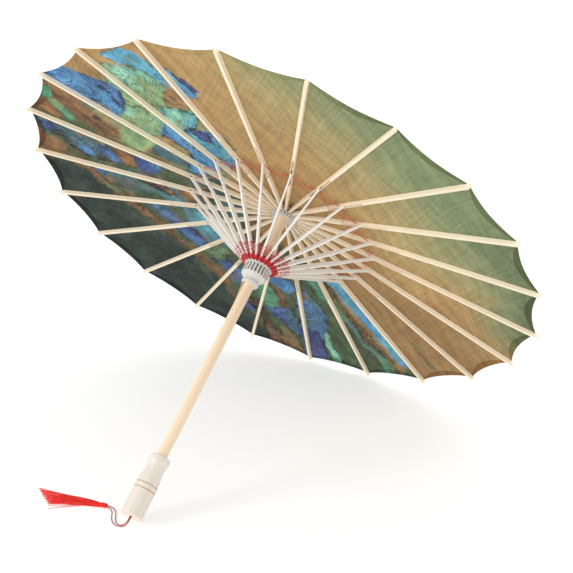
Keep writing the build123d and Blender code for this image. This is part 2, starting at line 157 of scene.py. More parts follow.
PAINTING = [
    # dark water and land along the lower left of the rim
    ("pine night", 16, 10, 0.1, [(-440, 112), (-352, 100), (-330, 72), (-300, 30), (-285, -5),
     (-262, -45), (-240, -85), (-222, -125), (-196, -160), (-178, -200), (-165, -250), (-150, -300),
     (-128, -345), (-120, -440), (-440, -440)]),
    ("dusk moss", 9, 80, 0.2, [(-196, -160), (-140, -120), (-70, -60), (-20, -85), (14, -125), (36, -165),
     (58, -262), (88, -322), (122, -378), (140, -440), (-130, -440), (-128, -345), (-150, -300),
     (-165, -250), (-178, -200)]),
    # fields on the left
    ("earth moss", 12, 40, 0.3, [(-352, 100), (-405, 130), (-370, 210), (-345, 245), (-300, 285),
     (-262, 316), (-230, 250), (-190, 210), (-150, 160), (-105, 115), (-80, 80), (-62, 30), (-52, -10),
     (-60, -50), (-70, -70), (-140, -120), (-196, -160), (-222, -125), (-240, -85), (-262, -45),
     (-285, -5), (-300, 30), (-330, 72)]),
    ("slate moss", 14, -35, 0.4, [(-300, 84), (-240, 78), (-205, 66), (-182, 40), (-180, -20), (-222, 6),
     (-275, 40)]),
    ("lagoon slate", 14, -45, 0.4, [(-215, 58), (-196, 56), (-176, 34), (-165, 15), (-150, -30),
     (-138, -75), (-122, -120), (-160, -105), (-186, -60), (-186, -20), (-205, 12)]),
    ("slate moss", 15, 60, 0.3, [(-112, 100), (-84, 84), (-64, 34), (-58, -8), (-80, -25), (-110, -30),
     (-148, -30), (-150, 20), (-130, 70)]),
    ("earth olive", 14, -55, 0.6, [(-348, 98), (-320, 92), (-300, 50), (-275, 10), (-252, -40),
     (-232, -85), (-205, -130), (-182, -165), (-160, -190), (-172, -202), (-196, -168), (-222, -122),
     (-248, -77), (-268, -42), (-290, -2), (-312, 45)]),
    ("azure indigo", 5, -60, 0.4, [(-314, 86), (-292, 80), (-288, 66), (-300, 50)]),
    ("steel indigo", 12, -55, 0.7, [(-247, -5), (-228, -8), (-213, -30), (-198, -55), (-182, -72),
     (-174, -100), (-158, -130), (-138, -160), (-126, -190), (-148, -207), (-166, -165), (-191, -125),
     (-213, -90), (-226, -60), (-236, -30)]),
    ("umber earth", 5, -80, 1.0, [(-240, 64), (-218, 60), (-200, 46), (-186, 28), (-176, 12), (-200, 18),
     (-222, 36)]),
    ("clay earth", 6, 30, 0.3, [(-172, 36), (-150, 38), (-144, 12), (-166, 8)]),
    ("sage sand", 16, 60, 0.2, [(-262, 300), (-225, 325), (-150, 340), (-100, 350), (-66, 330),
     (-60, 300), (-50, 250), (-45, 205), (-25, 195), (-25, 130), (-60, 84), (-130, 92), (-190, 130),
     (-240, 190), (-270, 250)]),
    # brown slopes, meadow and bright strips in the upper left
    ("earth clay", 14, 60, 0.3, [(-268, 296), (-250, 275), (-228, 245), (-204, 205), (-185, 170),
     (-205, 148), (-240, 178), (-265, 202), (-288, 212), (-314, 238), (-322, 254), (-292, 282)]),
    ("slate moss", 9, 60, 0.3, [(-243, 268), (-205, 225), (-165, 185), (-150, 160), (-186, 168),
     (-210, 198), (-232, 235)]),
    ("umber earth", 12, 60, 0.2, [(-300, 262), (-276, 266), (-252, 226), (-226, 190), (-214, 160),
     (-236, 172), (-262, 206), (-288, 236)]),
    ("umber night", 10, -60, 0.3, [(-262, 318), (-244, 326), (-214, 300), (-226, 290)]),
    ("umber night", 12, 60, 0.5, [(-236, 214), (-222, 216), (-196, 172), (-206, 166)]),
    ("night umber", 10, 50, 0.5, [(-356, 212), (-338, 218), (-322, 204), (-330, 188), (-352, 190)]),
    ("sage sand", 12, 40, 0.1, [(-232, 240), (-206, 226), (-180, 206), (-168, 186), (-190, 176),
     (-214, 196)]),
    ("leaf sage", 5, 30, 0.1, [(-208, 184), (-186, 196), (-165, 188), (-146, 170), (-152, 156),
     (-166, 143), (-186, 134), (-206, 138), (-216, 156)]),
    ("slate moss", 6, 20, 0.2, [(-150, 158), (-128, 128), (-104, 104), (-122, 98), (-150, 112),
     (-178, 130)]),
    ("jade moss", 4, 50, 0.2, [(-303, 262), (-288, 278), (-272, 280), (-282, 256), (-294, 250)]),
    ("jade leaf", 4, -75, 0.1, [(-292, 252), (-280, 248), (-270, 228), (-271, 205), (-278, 196),
     (-287, 215), (-294, 236)]),
    ("earth clay", 6, -60, 0.3, [(-314, 236), (-297, 228), (-288, 203), (-300, 194), (-314, 210),
     (-328, 226)]),
    ("rust umber", 6, 60, 0.3, [(-400, 130), (-384, 182), (-360, 214), (-345, 196), (-354, 166),
     (-366, 142)]),
    ("basalt slate", 7, 40, 0.9, [(-346, 205), (-320, 195), (-290, 185), (-262, 166), (-250, 142),
     (-243, 115), (-250, 95), (-280, 99), (-302, 106), (-317, 125), (-326, 150), (-341, 176)]),
    ("indigo steel", 5, 40, 0.5, [(-340, 192), (-325, 186), (-321, 170), (-337, 168)]),
    ("azure steel", 5, 30, 0.5, [(-307, 134), (-290, 138), (-282, 123), (-291, 108), (-304, 112)]),
    ("steel indigo", 5, -70, 0.5, [(-270, 142), (-256, 134), (-244, 112), (-242, 96), (-255, 94),
     (-268, 116)]),
    ("earth clay", 8, 60, 0.4, [(-362, 152), (-342, 152), (-330, 132), (-338, 114), (-364, 120)]),
    ("earth clay", 5, 70, 0.5, [(-242, 132), (-222, 130), (-213, 110), (-216, 84), (-236, 86),
     (-243, 108)]),
    ("jade olive", 5, 60, 0.2, [(-264, 164), (-250, 160), (-247, 145), (-258, 139), (-269, 150)]),
    ("indigo steel", 5, 50, 0.6, [(-208, 130), (-188, 120), (-168, 108), (-170, 92), (-188, 79),
     (-206, 74), (-220, 84), (-215, 106)]),
    # the mountains
    ("teal leaf", 4, 58, 0.9, [(-153, 341), (-128, 347), (-105, 344), (-88, 337), (-71, 325), (-65, 303),
     (-73, 285), (-84, 268), (-87, 255), (-60, 254), (-48, 248), (-56, 228), (-66, 208), (-62, 198),
     (-90, 204), (-112, 214), (-121, 196), (-133, 175), (-150, 177), (-173, 196), (-187, 216),
     (-166, 240), (-157, 258), (-151, 282), (-160, 300), (-150, 318)]),
    ("steel azure", 3, 66, 0.9, [(-266, 316), (-240, 323), (-224, 337), (-205, 319), (-185, 311),
     (-163, 299), (-151, 282), (-157, 258), (-166, 239), (-187, 215), (-206, 232), (-229, 262),
     (-252, 291)]),
    ("indigo steel", 8, 70, 0.9, [(-184, 287), (-166, 297), (-151, 284), (-157, 258), (-167, 238),
     (-173, 256), (-169, 274)]),
    ("violet steel", 5, 60, 0.5, [(-250, 312), (-236, 316), (-231, 302), (-243, 298)]),
    ("sky lagoon", 3, -35, 0.5, [(-141, 362), (-118, 372), (-96, 383), (-77, 375), (-65, 350), (-59, 326),
     (-57, 305), (-67, 317), (-80, 333), (-97, 345), (-118, 351)]),
    ("sky azure", 2.5, -50, 0.7, [(-55, 350), (-40, 339), (-25, 323), (-13, 302), (-27, 283), (-42, 283),
     (-44, 302), (-53, 327)]),
    ("violet indigo", 3, -50, 0.7, [(-42, 341), (-24, 324), (-13, 302), (-22, 299), (-33, 317)]),
    ("earth sand", 4, 40, 0.9, [(-84, 268), (-73, 286), (-63, 300), (-52, 301), (-45, 284), (-47, 262),
     (-62, 257)]),
    ("lagoon teal", 4, 62, 0.7, [(-102, 250), (-60, 253), (-47, 247), (-56, 227), (-66, 206), (-90, 196),
     (-112, 214)]),
    ("azure lagoon", 3, 60, 0.8, [(-67, 207), (-44, 205), (-28, 197), (-21, 170), (-27, 140), (-36, 117),
     (-56, 110), (-76, 140), (-96, 170), (-113, 195), (-119, 206), (-110, 215), (-90, 201)]),
    ("violet indigo", 5, 55, 0.7, [(-74, 201), (-56, 206), (-45, 196), (-51, 177), (-65, 179)]),
    ("azure steel", 4, 60, 0.8, [(-134, 184), (-118, 206), (-96, 171), (-76, 140), (-58, 117), (-80, 94),
     (-110, 84), (-131, 94), (-118, 112), (-105, 130), (-101, 150)]),
    # rocks, streams and banks below the runner
    ("moss sage", 7, 60, 0.4, [(-188, -110), (-150, -103), (-132, -130), (-158, -152), (-186, -142)]),
    ("earth umber", 6, -60, 0.5, [(-199, -165), (-181, -160), (-171, -186), (-163, -217), (-181, -217),
     (-191, -190)]),
    ("indigo steel", 5, -70, 0.5, [(-158, -255), (-141, -258), (-137, -294), (-152, -292)]),
    ("steel azure", 5, 40, 0.5, [(-90, -172), (-60, -167), (-39, -170), (-37, -198), (-52, -217),
     (-68, -201), (-83, -190)]),
    ("earth umber", 8, 80, 0.6, [(-84, -195), (-68, -205), (-62, -225), (-68, -262), (-84, -284),
     (-92, -262), (-82, -235)]),
    ("jade olive", 5, 70, 0.5, [(-110, -188), (-91, -193), (-80, -215), (-78, -236), (-84, -258),
     (-97, -277), (-113, -267), (-119, -236), (-115, -208)]),
    ("slate indigo", 6, 30, 0.7, [(-114, -268), (-80, -261), (-55, -260), (-55, -300), (-60, -345),
     (-75, -331), (-88, -300), (-106, -293)]),
    ("umber earth", 9, 80, 0.7, [(-150, -256), (-122, -251), (-118, -300), (-107, -345), (-97, -420),
     (-130, -420), (-135, -340), (-129, -300)]),
    ("olive earth", 7, 70, 0.5, [(-99, -317), (-82, -321), (-69, -350), (-64, -420), (-97, -420),
     (-105, -350)]),
    ("slate steel", 3, 70, 0.8, [(-31, -199), (-16, -189), (-5, -206), (3, -222), (7, -250), (4, -285),
     (-5, -312), (-15, -335), (-19, -360), (-22, -420), (-68, -420), (-60, -340), (-47, -270),
     (-39, -220)]),
    ("violet indigo", 7, 80, 0.6, [(-52, -308), (-20, -316), (-18, -350), (-22, -420), (-62, -420),
     (-57, -350)]),
    ("teal jade", 3, 85, 0.5, [(-5, -303), (2, -308), (1, -340), (10, -376), (12, -420), (-6, -420),
     (-12, -352), (-10, -325)]),
    ("earth olive", 4, -60, 0.6, [(28, -158), (45, -195), (72, -250), (102, -310), (128, -378),
     (100, -378), (68, -322), (40, -262), (14, -200)]),
    ("jade slate", 4, -62, 0.3, [(-6, -158), (12, -160), (26, -205), (56, -262), (86, -322), (121, -385),
     (104, -385), (72, -322), (44, -262), (13, -205)]),
    ("earth moss", 4, -60, 0.8, [(34, -186), (52, -222), (76, -275), (100, -335), (92, -330), (66, -278),
     (44, -228)]),
    ("azure lagoon", 3, -60, 0.5, [(28, -146), (63, -144), (86, -200), (114, -262), (136, -312),
     (145, -356), (124, -340), (103, -290), (77, -240), (51, -195)]),
    ("olive clay", 5, -60, 0.1, [(151, -238), (158, -240), (201, -322), (194, -326)]),
    ("moss jade", 6, -60, 0.2, [(138, -342), (150, -348), (175, -385), (130, -390)]),
]


def inside_distance(x, y, outline):
    """Distance to a closed outline, positive inside it."""
    best = np.full(x.shape, np.inf)
    inside = np.zeros(x.shape, bool)
    for (x0, y0), (x1, y1) in zip(outline, outline[1:] + outline[:1]):
        dx, dy = x1 - x0, y1 - y0
        t = np.clip(((x - x0) * dx + (y - y0) * dy) / (dx * dx + dy * dy), 0, 1)
        best = np.minimum(best, np.hypot(x - x0 - t * dx, y - y0 - t * dy))
        if dy:
            inside ^= ((y0 > y) != (y1 > y)) & (x < x0 + (y - y0) / dy * dx)
    return np.where(inside, best, -best)


def silk_ground(x, y):
    """Bare silk: gold, then straw and green towards the right of the rim, browner low down as painted
    shade.
    """
    tint = linear(PIGMENTS["gold"]) + np.zeros((len(x), 1))

    def wash(name, share):
        tint[:] += (linear(PIGMENTS[name]) - tint) * share[:, None]

    noise, fleck = clouds(x, y, 90, 11), clouds(x + 0.5 * y, y * 2.2, 15, 14)
    wash("sand", smooth(0.3 + noise + 0.2 * fleck))
    # painted shade: this tan wash makes the lower part of the canopy browner and darker
    wash("tan", 0.75 * smooth((20 - y - 0.9 * np.maximum(x - 100, 0) + 30 * noise) / 150))
    towards = x * 0.9 + np.maximum(y, -20) * 0.36 + 50 * clouds(x, y, 120, 21) + 16 * fleck
    wash("straw", 0.9 * smooth((towards - 100) / 130) * smooth((y + 150) / 200))
    green = smooth((towards - 185) / 150) * smooth((y + 250) / 160)
    wash("fern", green)
    at_rim = smooth((np.hypot(x, y) - 300 + 50 * clouds(x, y, 40, 26)) / 80)
    wash("rim_green", green * at_rim * smooth((250 - y) / 300))
    return tint * (1 + 0.05 * clouds(x, y * 2, 9, 27) + 0.06 * clouds(x, y, 26, 29))[:, None]


def paint(x, y):
    """Tint in linear light, and brush coordinates with their ink, at plan points in mm."""
    warp_x = x + 7 * clouds(x, y, 34, 31) + 2.6 * clouds(x, y, 9, 41)
    warp_y = y + 7 * clouds(x, y, 34, 51) + 2.6 * clouds(x, y, 9, 61)
    bend = 14 * clouds(x, y, 60, 71)
    mottle = clouds(x, y, 17, 81)
    tint = silk_ground(x, y)
    brush = np.stack([x, y + bend, np.zeros(x.shape)], axis=1)
    for number, (tones, edge, angle, ink, outline) in enumerate(PAINTING):
        corners = np.array(outline)
        low, high = corners.min(axis=0) - 20, corners.max(axis=0) + 20
        near = (x > low[0]) & (x < high[0]) & (y > low[1]) & (y < high[1])
        wx, wy = warp_x[near], warp_y[near]
        depth = inside_distance(wx, wy, outline)
        lost = smooth(0.4 + 1.6 * clouds(wx, wy, 38, 500 + number))
        cover = smooth(depth / (edge * (0.6 + 2.2 * lost)) + 0.5)[:, None]
        first, second = (linear(PIGMENTS[tone]) for tone in tones.split())
        mix = smooth(0.3 + 1.1 * clouds(wx, wy, 30, 100 + number)
                     + np.clip(depth, 0, 40) / 90)[:, None]
        shade = 1 + 0.42 * mottle[near][:, None] + 0.2 * clouds(wx, wy, 8, 300 + number)[:, None]
        speck = np.clip(0.7 + 1.5 * value_noise(wx / 3.1, wy / 3.1, 400), 0, 1.6)
        found = smooth(1.1 - lost + clouds(wx, wy, 22, 600 + number))
        dabs = (np.exp(-((depth - 0.4) / 3.2) ** 2) * np.minimum(1.3 * speck, 1) * found)[:, None]
        bare = smooth((mottle[near] * clouds(wx, wy, 24, 200 + number) - 0.09) * 9)[:, None]
        colour = (first + (second - first) * mix) * shade
        colour += (linear(PIGMENTS["clay"]) - colour) * bare * ink * 0.6
        tint[near] += (colour - tint[near]) * cover
        tint[near] *= 1 - min(1, 1.2 * ink) * 0.9 * dabs
        c, s = cos(radians(angle)), sin(radians(angle))
        px, py = x[near], y[near]
        across = 0.6 * (py * c - px * s) + 0.7 * np.minimum(depth, 26) + bend[near]
        at_edge = np.exp(-np.maximum(depth, 0) / 14)
        spread = 0.6 + 0.4 * np.maximum(at_edge, smooth(1.6 * mottle[near] + 0.3))
        marks = np.stack([px * c + py * s, across, ink * smooth(depth / 6) * spread], axis=1)
        brush[near] = np.where(cover > 0.5, marks, brush[near])
    return np.clip(tint, 0, 1), brush


# ---- meshes ----
def new_object(name, data):
    """An object in the scene."""
    thing = bpy.data.objects.new(name, data)
    bpy.context.scene.collection.objects.link(thing)
    return thing


def add_mesh(name, points, faces, body, slot, material):
    """A smooth piece from upright points and faces, laid down."""
    mesh = bpy.data.meshes.new(name)
    mesh.from_pydata([tuple(p) for p in to_row(points)], [], faces)
    mesh.polygons.foreach_set("use_smooth", np.ones(len(faces), bool))
    mesh.materials.append(material)
    piece = new_object(name, mesh)
    if body:
        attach(piece, body)
    return piece


def set_attribute(piece, name, values):
    """A vector or a colour for each vertex."""
    values = np.asarray(values, np.float32)
    kind, key = {3: ("FLOAT_VECTOR", "vector"), 4: ("FLOAT_COLOR", "color")}[values.shape[1]]
    layer = piece.data.attributes.new(name, kind, "POINT")
    layer.data.foreach_set(key, values.ravel())


def grid_faces(rows, columns, start=0, flip=False):
    """Quads of a grid of vertices that is stored row by row."""
    faces = []
    for r in range(rows - 1):
        for c in range(columns - 1):
            a = start + r * columns + c
            quad = (a, a + 1, a + columns + 1, a + columns)
            faces.append(quad[::-1] if flip else quad)
    return faces


def border(rows, columns):
    """Vertices round the edge of a grid, in order."""
    index = np.arange(rows * columns).reshape(rows, columns)
    sides = index[0], index[1:, -1], index[-1, -2::-1], index[-2:0:-1, 0]
    return np.concatenate(sides).tolist()


def sheet_mesh(lower, upper, rows, columns):
    """Points and faces of a thin closed sheet from two grids; the rim faces come last."""
    count = rows * columns
    faces = grid_faces(rows, columns, flip=True) + grid_faces(rows, columns, start=count)
    loop = border(rows, columns)
    rim = [(a, b, b + count, a + count) for a, b in zip(loop, loop[1:] + loop[:1])]
    return np.concatenate([lower, upper]), faces + rim, len(rim)


def mark_sharp(piece, vertex_pairs):
    """Keeps the shading of a sheet's faces apart from that of its thin edge."""
    wanted = {tuple(sorted(pair)) for pair in vertex_pairs}
    for edge in piece.data.edges:
        if tuple(sorted(edge.vertices)) in wanted:
            edge.use_edge_sharp = True


def tube(path, radius, sides=6):
    """Points and faces of a round thread along upright points, with closed ends."""
    path = np.asarray(path, float)
    ahead = np.gradient(path, axis=0)
    ahead /= np.linalg.norm(ahead, axis=1)[:, None]
    reference = np.array([0.31, 0.17, 0.93])
    across = np.cross(ahead, reference)
    across /= np.linalg.norm(across, axis=1)[:, None]
    above = np.cross(ahead, across)
    points, faces = [], []
    for k, centre in enumerate(path):
        for side in range(sides):
            a = 2 * pi * side / sides
            points.append(centre + radius * (cos(a) * across[k] + sin(a) * above[k]))
    for k in range(len(path) - 1):
        for side in range(sides):
            a, b = k * sides + side, k * sides + (side + 1) % sides
            faces.append((a, b, b + sides, a + sides))
    faces.append(tuple(reversed(range(sides))))
    faces.append(tuple(range((len(path) - 1) * sides, len(path) * sides)))
    return points, faces


def join(parts):
    """One list of points and one of faces from several."""
    points, faces = [], []
    for more_points, more_faces in parts:
        start = len(points)
        points.extend(more_points)
        faces.extend(tuple(i + start for i in face) for face in more_faces)
    return points, faces


# ---- canopy ----
# The cloth is in gores, one over each rib, that meet halfway between the ribs. Each gore has
# bands along its length.
ACROSS = np.linspace(-1, 1, 49)
SPREAD = 1 - (1 - np.abs(ACROSS)) ** 2
ROW_STEP = 2.4 * MM
SAG = 0.5 * MM
BAND_EDGES = [CLOTH_CENTRE] + [r * MM for r in (36, 48, 62, 80, 115, 170, 250)] + [CLOTH_TIP]
BAND_KEEPS = (0.5, 0.39, 0.315, 0.26, 0.2, 0.156, 0.125, 0.1)
HEM_WIDTH, HEM_STEPS, HEM_GAP = 11 * MM, 6, 0.05 * MM
RIM_RADIUS = CLOTH_TIP - SCALLOP / cos(PITCH / 2) * SPREAD   # drawn in between the ribs
CENTRE_HOLE, CENTRE_OVERLAP = 8.4 * MM, 0.2 * MM
PETAL_INNER, PETAL_OUTER, PETAL_NARROWS = 9 * MM, 34 * MM, 24 * MM
PETAL_GAP, RUFFLE = 0.35 * MM, 0.25 * MM


def cloth_height(radius):
    """Height of the cloth's underside over a rib: a straight slope, lifted over the hub."""
    def straight(r):
        return -(r - HINGE_RADIUS) * tan(DROOP) + RIB_ABOVE / cos(DROOP) + CLOTH_GAP
    rise = np.clip((CLOTH_SHOULDER - radius) / (CLOTH_SHOULDER - CLOTH_CENTRE), 0, 1)
    return straight(radius) + (CLOTH_BASE_Z - straight(CLOTH_CENTRE)) * rise ** 2


def gore_points(radius, across):
    """Underside of the gore along +X: across runs from -1 to 1 between the two midlines."""
    share = np.abs(across)
    mid = radius * cos(PITCH / 2)
    x = radius * (1 - share) + mid * cos(PITCH / 2) * share
    y = np.sign(across) * mid * sin(PITCH / 2) * share
    out = np.clip((radius - CLOTH_CENTRE) / (CLOTH_TIP - CLOTH_CENTRE), 0, 1)
    sag = SAG * smooth(share) * out
    return np.stack([x, y, cloth_height(radius) - sag], axis=-1)


def hem_darkening(x, y):
    """Power that darkens the doubled hem: least at the top of the picture."""
    return 1.08 + 0.32 * smooth((np.hypot(x + 60, y - 400) - 170) / 160)[:, None]


def make_cloth(name, angle, lower, body, material, hem=False):
    """A thin closed sheet of painted silk on a grid of points, turned about the shaft."""
    rows, columns = lower.shape[:2]
    lower = lower.reshape(-1, 3)
    points, faces, rim = sheet_mesh(lower, lower + (0, 0, CLOTH_THICK), rows, columns)
    points = turned_to(points, angle)
    piece = add_mesh(name, points, faces, body, "silk", material)
    x, y = points[:, 0] / MM, -points[:, 1] / MM
    tint, brush = paint(x, y)
    if hem:
        tint = tint ** hem_darkening(x, y)
    set_attribute(piece, "tint", np.hstack([tint, np.ones((len(tint), 1))]))
    set_attribute(piece, "brush", brush)
    set_attribute(piece, "plan", np.stack([x, y, np.zeros(len(x))], axis=1))
    edges = [tuple(face.vertices) for face in piece.data.polygons[-rim:]]
    mark_sharp(piece, [(e[0], e[1]) for e in edges] + [(e[2], e[3]) for e in edges])
    return piece


def fold_with_runner(piece):
    """Gives the piece its own copy of its mesh."""
    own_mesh(piece)


def band_grid(inner, outer, steps, drop=0.0):
    """Grid of a gore between two radii, each one number or one for each place across."""
    share = np.linspace(0, 1, steps + 1)[:, None]
    radius = inner + (outer - inner) * share
    grid = gore_points(radius, np.broadcast_to(ACROSS, radius.shape))
    return grid - (0, 0, drop)


def make_canopy(silk):
    hem_inner = RIM_RADIUS - HEM_WIDTH * (0.12 + 0.88 * SPREAD)
    for k in range(RIB_COUNT):
        rib = f"rib_{k + 1:02d}"
        hem = make_cloth(f"hem_{k + 1:02d}", azimuth(k),
                         band_grid(hem_inner, RIM_RADIUS, HEM_STEPS, CLOTH_THICK + HEM_GAP),
                         rib, silk, hem=True)
        fold_with_runner(hem)
        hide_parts("canopy")
        for number, keep in enumerate(BAND_KEEPS):
            inner, outer = BAND_EDGES[number:number + 2]
            length, last = outer - inner, outer == CLOTH_TIP
            edge = RIM_RADIUS if last else np.full(ACROSS.shape, outer)
            grid = band_grid(np.full(ACROSS.shape, inner), edge, round(length / ROW_STEP))
            gore = make_cloth(f"gore_{k + 1:02d}_{number + 1}", azimuth(k), grid, rib, silk)
            fold_with_runner(gore)
            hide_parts("canopy")


def make_crown_cloth(silk):
    """The middle of the canopy on the hub, and a cover of petals over it."""
    turn = np.linspace(0, 2 * pi, 97)
    radii = np.linspace(CENTRE_HOLE, CLOTH_CENTRE + CENTRE_OVERLAP, 6)
    grid = np.array([[(r * cos(a), r * sin(a), CLOTH_BASE_Z) for a in turn] for r in radii])
    centre = make_cloth("canopy_centre", 0, grid, "stick", silk)
    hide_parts("canopy")
    radii = np.linspace(PETAL_INNER, PETAL_OUTER, 21)
    past = np.clip((radii - PETAL_NARROWS) / (PETAL_OUTER - PETAL_NARROWS), 0, 1)
    width = 1 - 0.12 * past - 0.5 * past ** 6
    across = np.linspace(-1, 1, 17)
    ruffle = RUFFLE * np.outer(smooth((radii - 12 * MM) / (10 * MM)), np.cos(across * 3 * pi))
    grid = np.array([gore_points(np.full(17, max(r, CLOTH_CENTRE)), across * w)
                     * ((r / max(r, CLOTH_CENTRE),) * 2 + (1,)) for r, w in zip(radii, width)])
    grid[..., 2] += CLOTH_THICK + PETAL_GAP + ruffle
    for k in range(RIB_COUNT):
        petal = make_cloth(f"crown_petal_{k + 1:02d}", azimuth(k), grid, None, silk)
        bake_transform(petal)
        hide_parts("crown_patch")


# ---- threads on struts and ribs ----
STRUT_HALF, STRUT_DEPTH = 1.5 * MM, 3.2 * MM
THREAD_RADIUS, NET_THREAD_RADIUS, RIB_THREAD_RADIUS = 0.38 * MM, 0.42 * MM, 0.46 * MM
STRUT_RADIUS = (Vector(JOINTS["strut_01_hinge"]["pos_m"]) - CENTRE - SHAFT_AXIS * RUNNER_HINGE_Z).length
STRUT_KEEP, RIB_THREAD_KEEP = 0.4, 0.12
WRAP_FROM, WRAP_TO, WRAP_PITCH = 4.2 * MM, 12.5 * MM, 0.85 * MM
NET_ROWS = np.array((13.5, 17.5, 21.5, 25.5, 29.5)) * MM
NET_REACH, NET_SLANT, NET_SCATTER = 7.5 * MM, 1.2 * MM, 1.6 * MM
TIE_FROM_PIN, ZIGZAG_REACH = 5.5 * MM, 27 * MM
RIB_HALF, RIB_DEPTH = 1.9 * MM, 2.4 * MM
PIN_KNOT_THREAD, PIN_KNOT_END = 0.4 * MM, 0.22 * MM


def on_strut(along, side, depth):
    """Point of the strut along +X: distance along it, sideways, and off its middle."""
    x = STRUT_RADIUS + along * cos(STRUT_RISE) - depth * sin(STRUT_RISE)
    z = RUNNER_HINGE_Z + along * sin(STRUT_RISE) + depth * cos(STRUT_RISE)
    return np.array([x, side, z])


def halfway(x, z, side):
    """Point on the midline towards the next strut or rib, from a radius and a height."""
    mid = x * cos(PITCH / 2)
    return np.array([mid * cos(PITCH / 2), side * mid * sin(PITCH / 2), z])


def strut_net(rng):
    """Thread bound round the foot of a strut, and its half of the net to both neighbours."""
    parts = []
    half, depth = STRUT_HALF + THREAD_RADIUS, STRUT_DEPTH + THREAD_RADIUS
    for along in np.arange(WRAP_FROM, WRAP_TO, WRAP_PITCH):
        ring = [(-half, -depth), (0, -depth * 1.06), (half, -depth), (half * 1.06, 0), (half, depth),
                (0, depth * 1.06), (-half, depth), (-half * 1.06, 0), (-half, -depth)]
        path = [on_strut(along + 0.1 * MM * i / 8, a, b) for i, (a, b) in enumerate(ring)]
        parts.append(tube(path, THREAD_RADIUS, 5))
        for side in (-1, 1):
            for level in (-0.75, 0.0, 0.75):
                lift = level * STRUT_DEPTH + rng.uniform(-0.3, 0.3) * MM
                near = on_strut(along, side * STRUT_HALF * 0.8, lift)
                far = on_strut(along + rng.uniform(-0.5, 0.5) * MM, 0, lift)
                parts.append(tube([near, halfway(far[0], far[2], side)], THREAD_RADIUS, 5))
    for along in NET_ROWS:
        for side in (-1, 1):
            for way in (-1, 1):
                lift = 0.5 * way * STRUT_DEPTH
                near = on_strut(along + rng.uniform(-1, 1) * NET_SCATTER, side * STRUT_HALF * 0.9, lift)
                far = on_strut(along + way * NET_REACH / 2, 0, 0.4 * lift)
                parts.append(tube([near, halfway(far[0], far[2], side)], NET_THREAD_RADIUS, 5))
        ring = [(-half, -depth), (half, -depth), (half, depth), (-half, depth), (-half, -depth)]
        slant = rng.uniform(-1, 1) * NET_SLANT
        wrap = [on_strut(along + slant * i, a, b) for i, (a, b) in zip((0, 1, 1, 0, 0), ring)]
        parts.append(tube(wrap, NET_THREAD_RADIUS * 0.8, 5))
    return join(parts)


def rib_point(along, side, below):
    """Point under the rib along +X, measured along it from its hinge."""
    x = HINGE_RADIUS + along * cos(DROOP) - below * sin(DROOP)
    z = -along * sin(DROOP) - below * cos(DROOP)
    return np.array([x, side, z])


def rib_threads():
    """Half of the zigzag threads from just inside the strut pin to both neighbours."""
    parts = []
    for side in (-1, 1):
        outer = rib_point(LINK_ALONG - TIE_FROM_PIN, 0, RIB_DEPTH)
        inner = rib_point(LINK_ALONG - TIE_FROM_PIN - ZIGZAG_REACH, 0, RIB_DEPTH)
        middle = (outer + inner) / 2
        far = halfway(middle[0], middle[2] - 0.4 * MM, side)
        for start in (outer, inner):
            near = start + (0, side * RIB_HALF, 0)
            parts.append(tube([near, (near + far) / 2 + (0, 0, -0.15 * MM), far], RIB_THREAD_RADIUS, 5))
        drooping = halfway(outer[0] - 3 * MM, outer[2] - 0.5 * MM, side)
        parts.append(tube([outer + (0, side * RIB_HALF, 0), drooping], RIB_THREAD_RADIUS * 0.8, 5))
    return join(parts)


def pin_knot(rng):
    """A small dark knot with two thread ends at the strut pin."""
    def near_pin(along, side, below):
        return rib_point(LINK_ALONG + along * MM, side * MM, below * MM)
    wound = [near_pin(0.9 * sin(a), 2.2 + 0.5 * cos(a), 2.4 + 0.8 * cos(a))
             for a in np.linspace(0, 5 * pi, 26)]
    ends = [tube([near_pin(0, 2.4, 2.6), near_pin(0.6 * along, 3.0, 0.7 * below),
                  near_pin(along, rng.uniform(2.2, 3.4), below)], PIN_KNOT_END, 5)
            for along, below in ((2.8, 4.4), (-2.0, 5.0))]
    return join([tube(wound, PIN_KNOT_THREAD)] + ends)


def make_threads():
    rng = np.random.default_rng(5)
    red = thread_material("net_thread", (214, 34, 44), (184, 20, 34), 0.1)
    rust = thread_material("rib_thread", (218, 70, 44), (196, 56, 36))
    dark = thread_material("knot_thread", (70, 48, 36), (34, 26, 22))
    for k in range(RIB_COUNT):
        sets = (("net", "strut", strut_net(rng), red, STRUT_KEEP),
                ("zigzag", "rib", rib_threads(), rust, RIB_THREAD_KEEP),
                ("pin_knot", "rib", pin_knot(rng), dark, None))
        for name, body, (points, faces), material, keep in sets:
            piece = add_mesh(f"{name}_{k + 1:02d}", turned_to(points, azimuth(k)), faces,
                             f"{body}_{k + 1:02d}", "red_thread", material)
            if keep:
                fold_with_runner(piece)


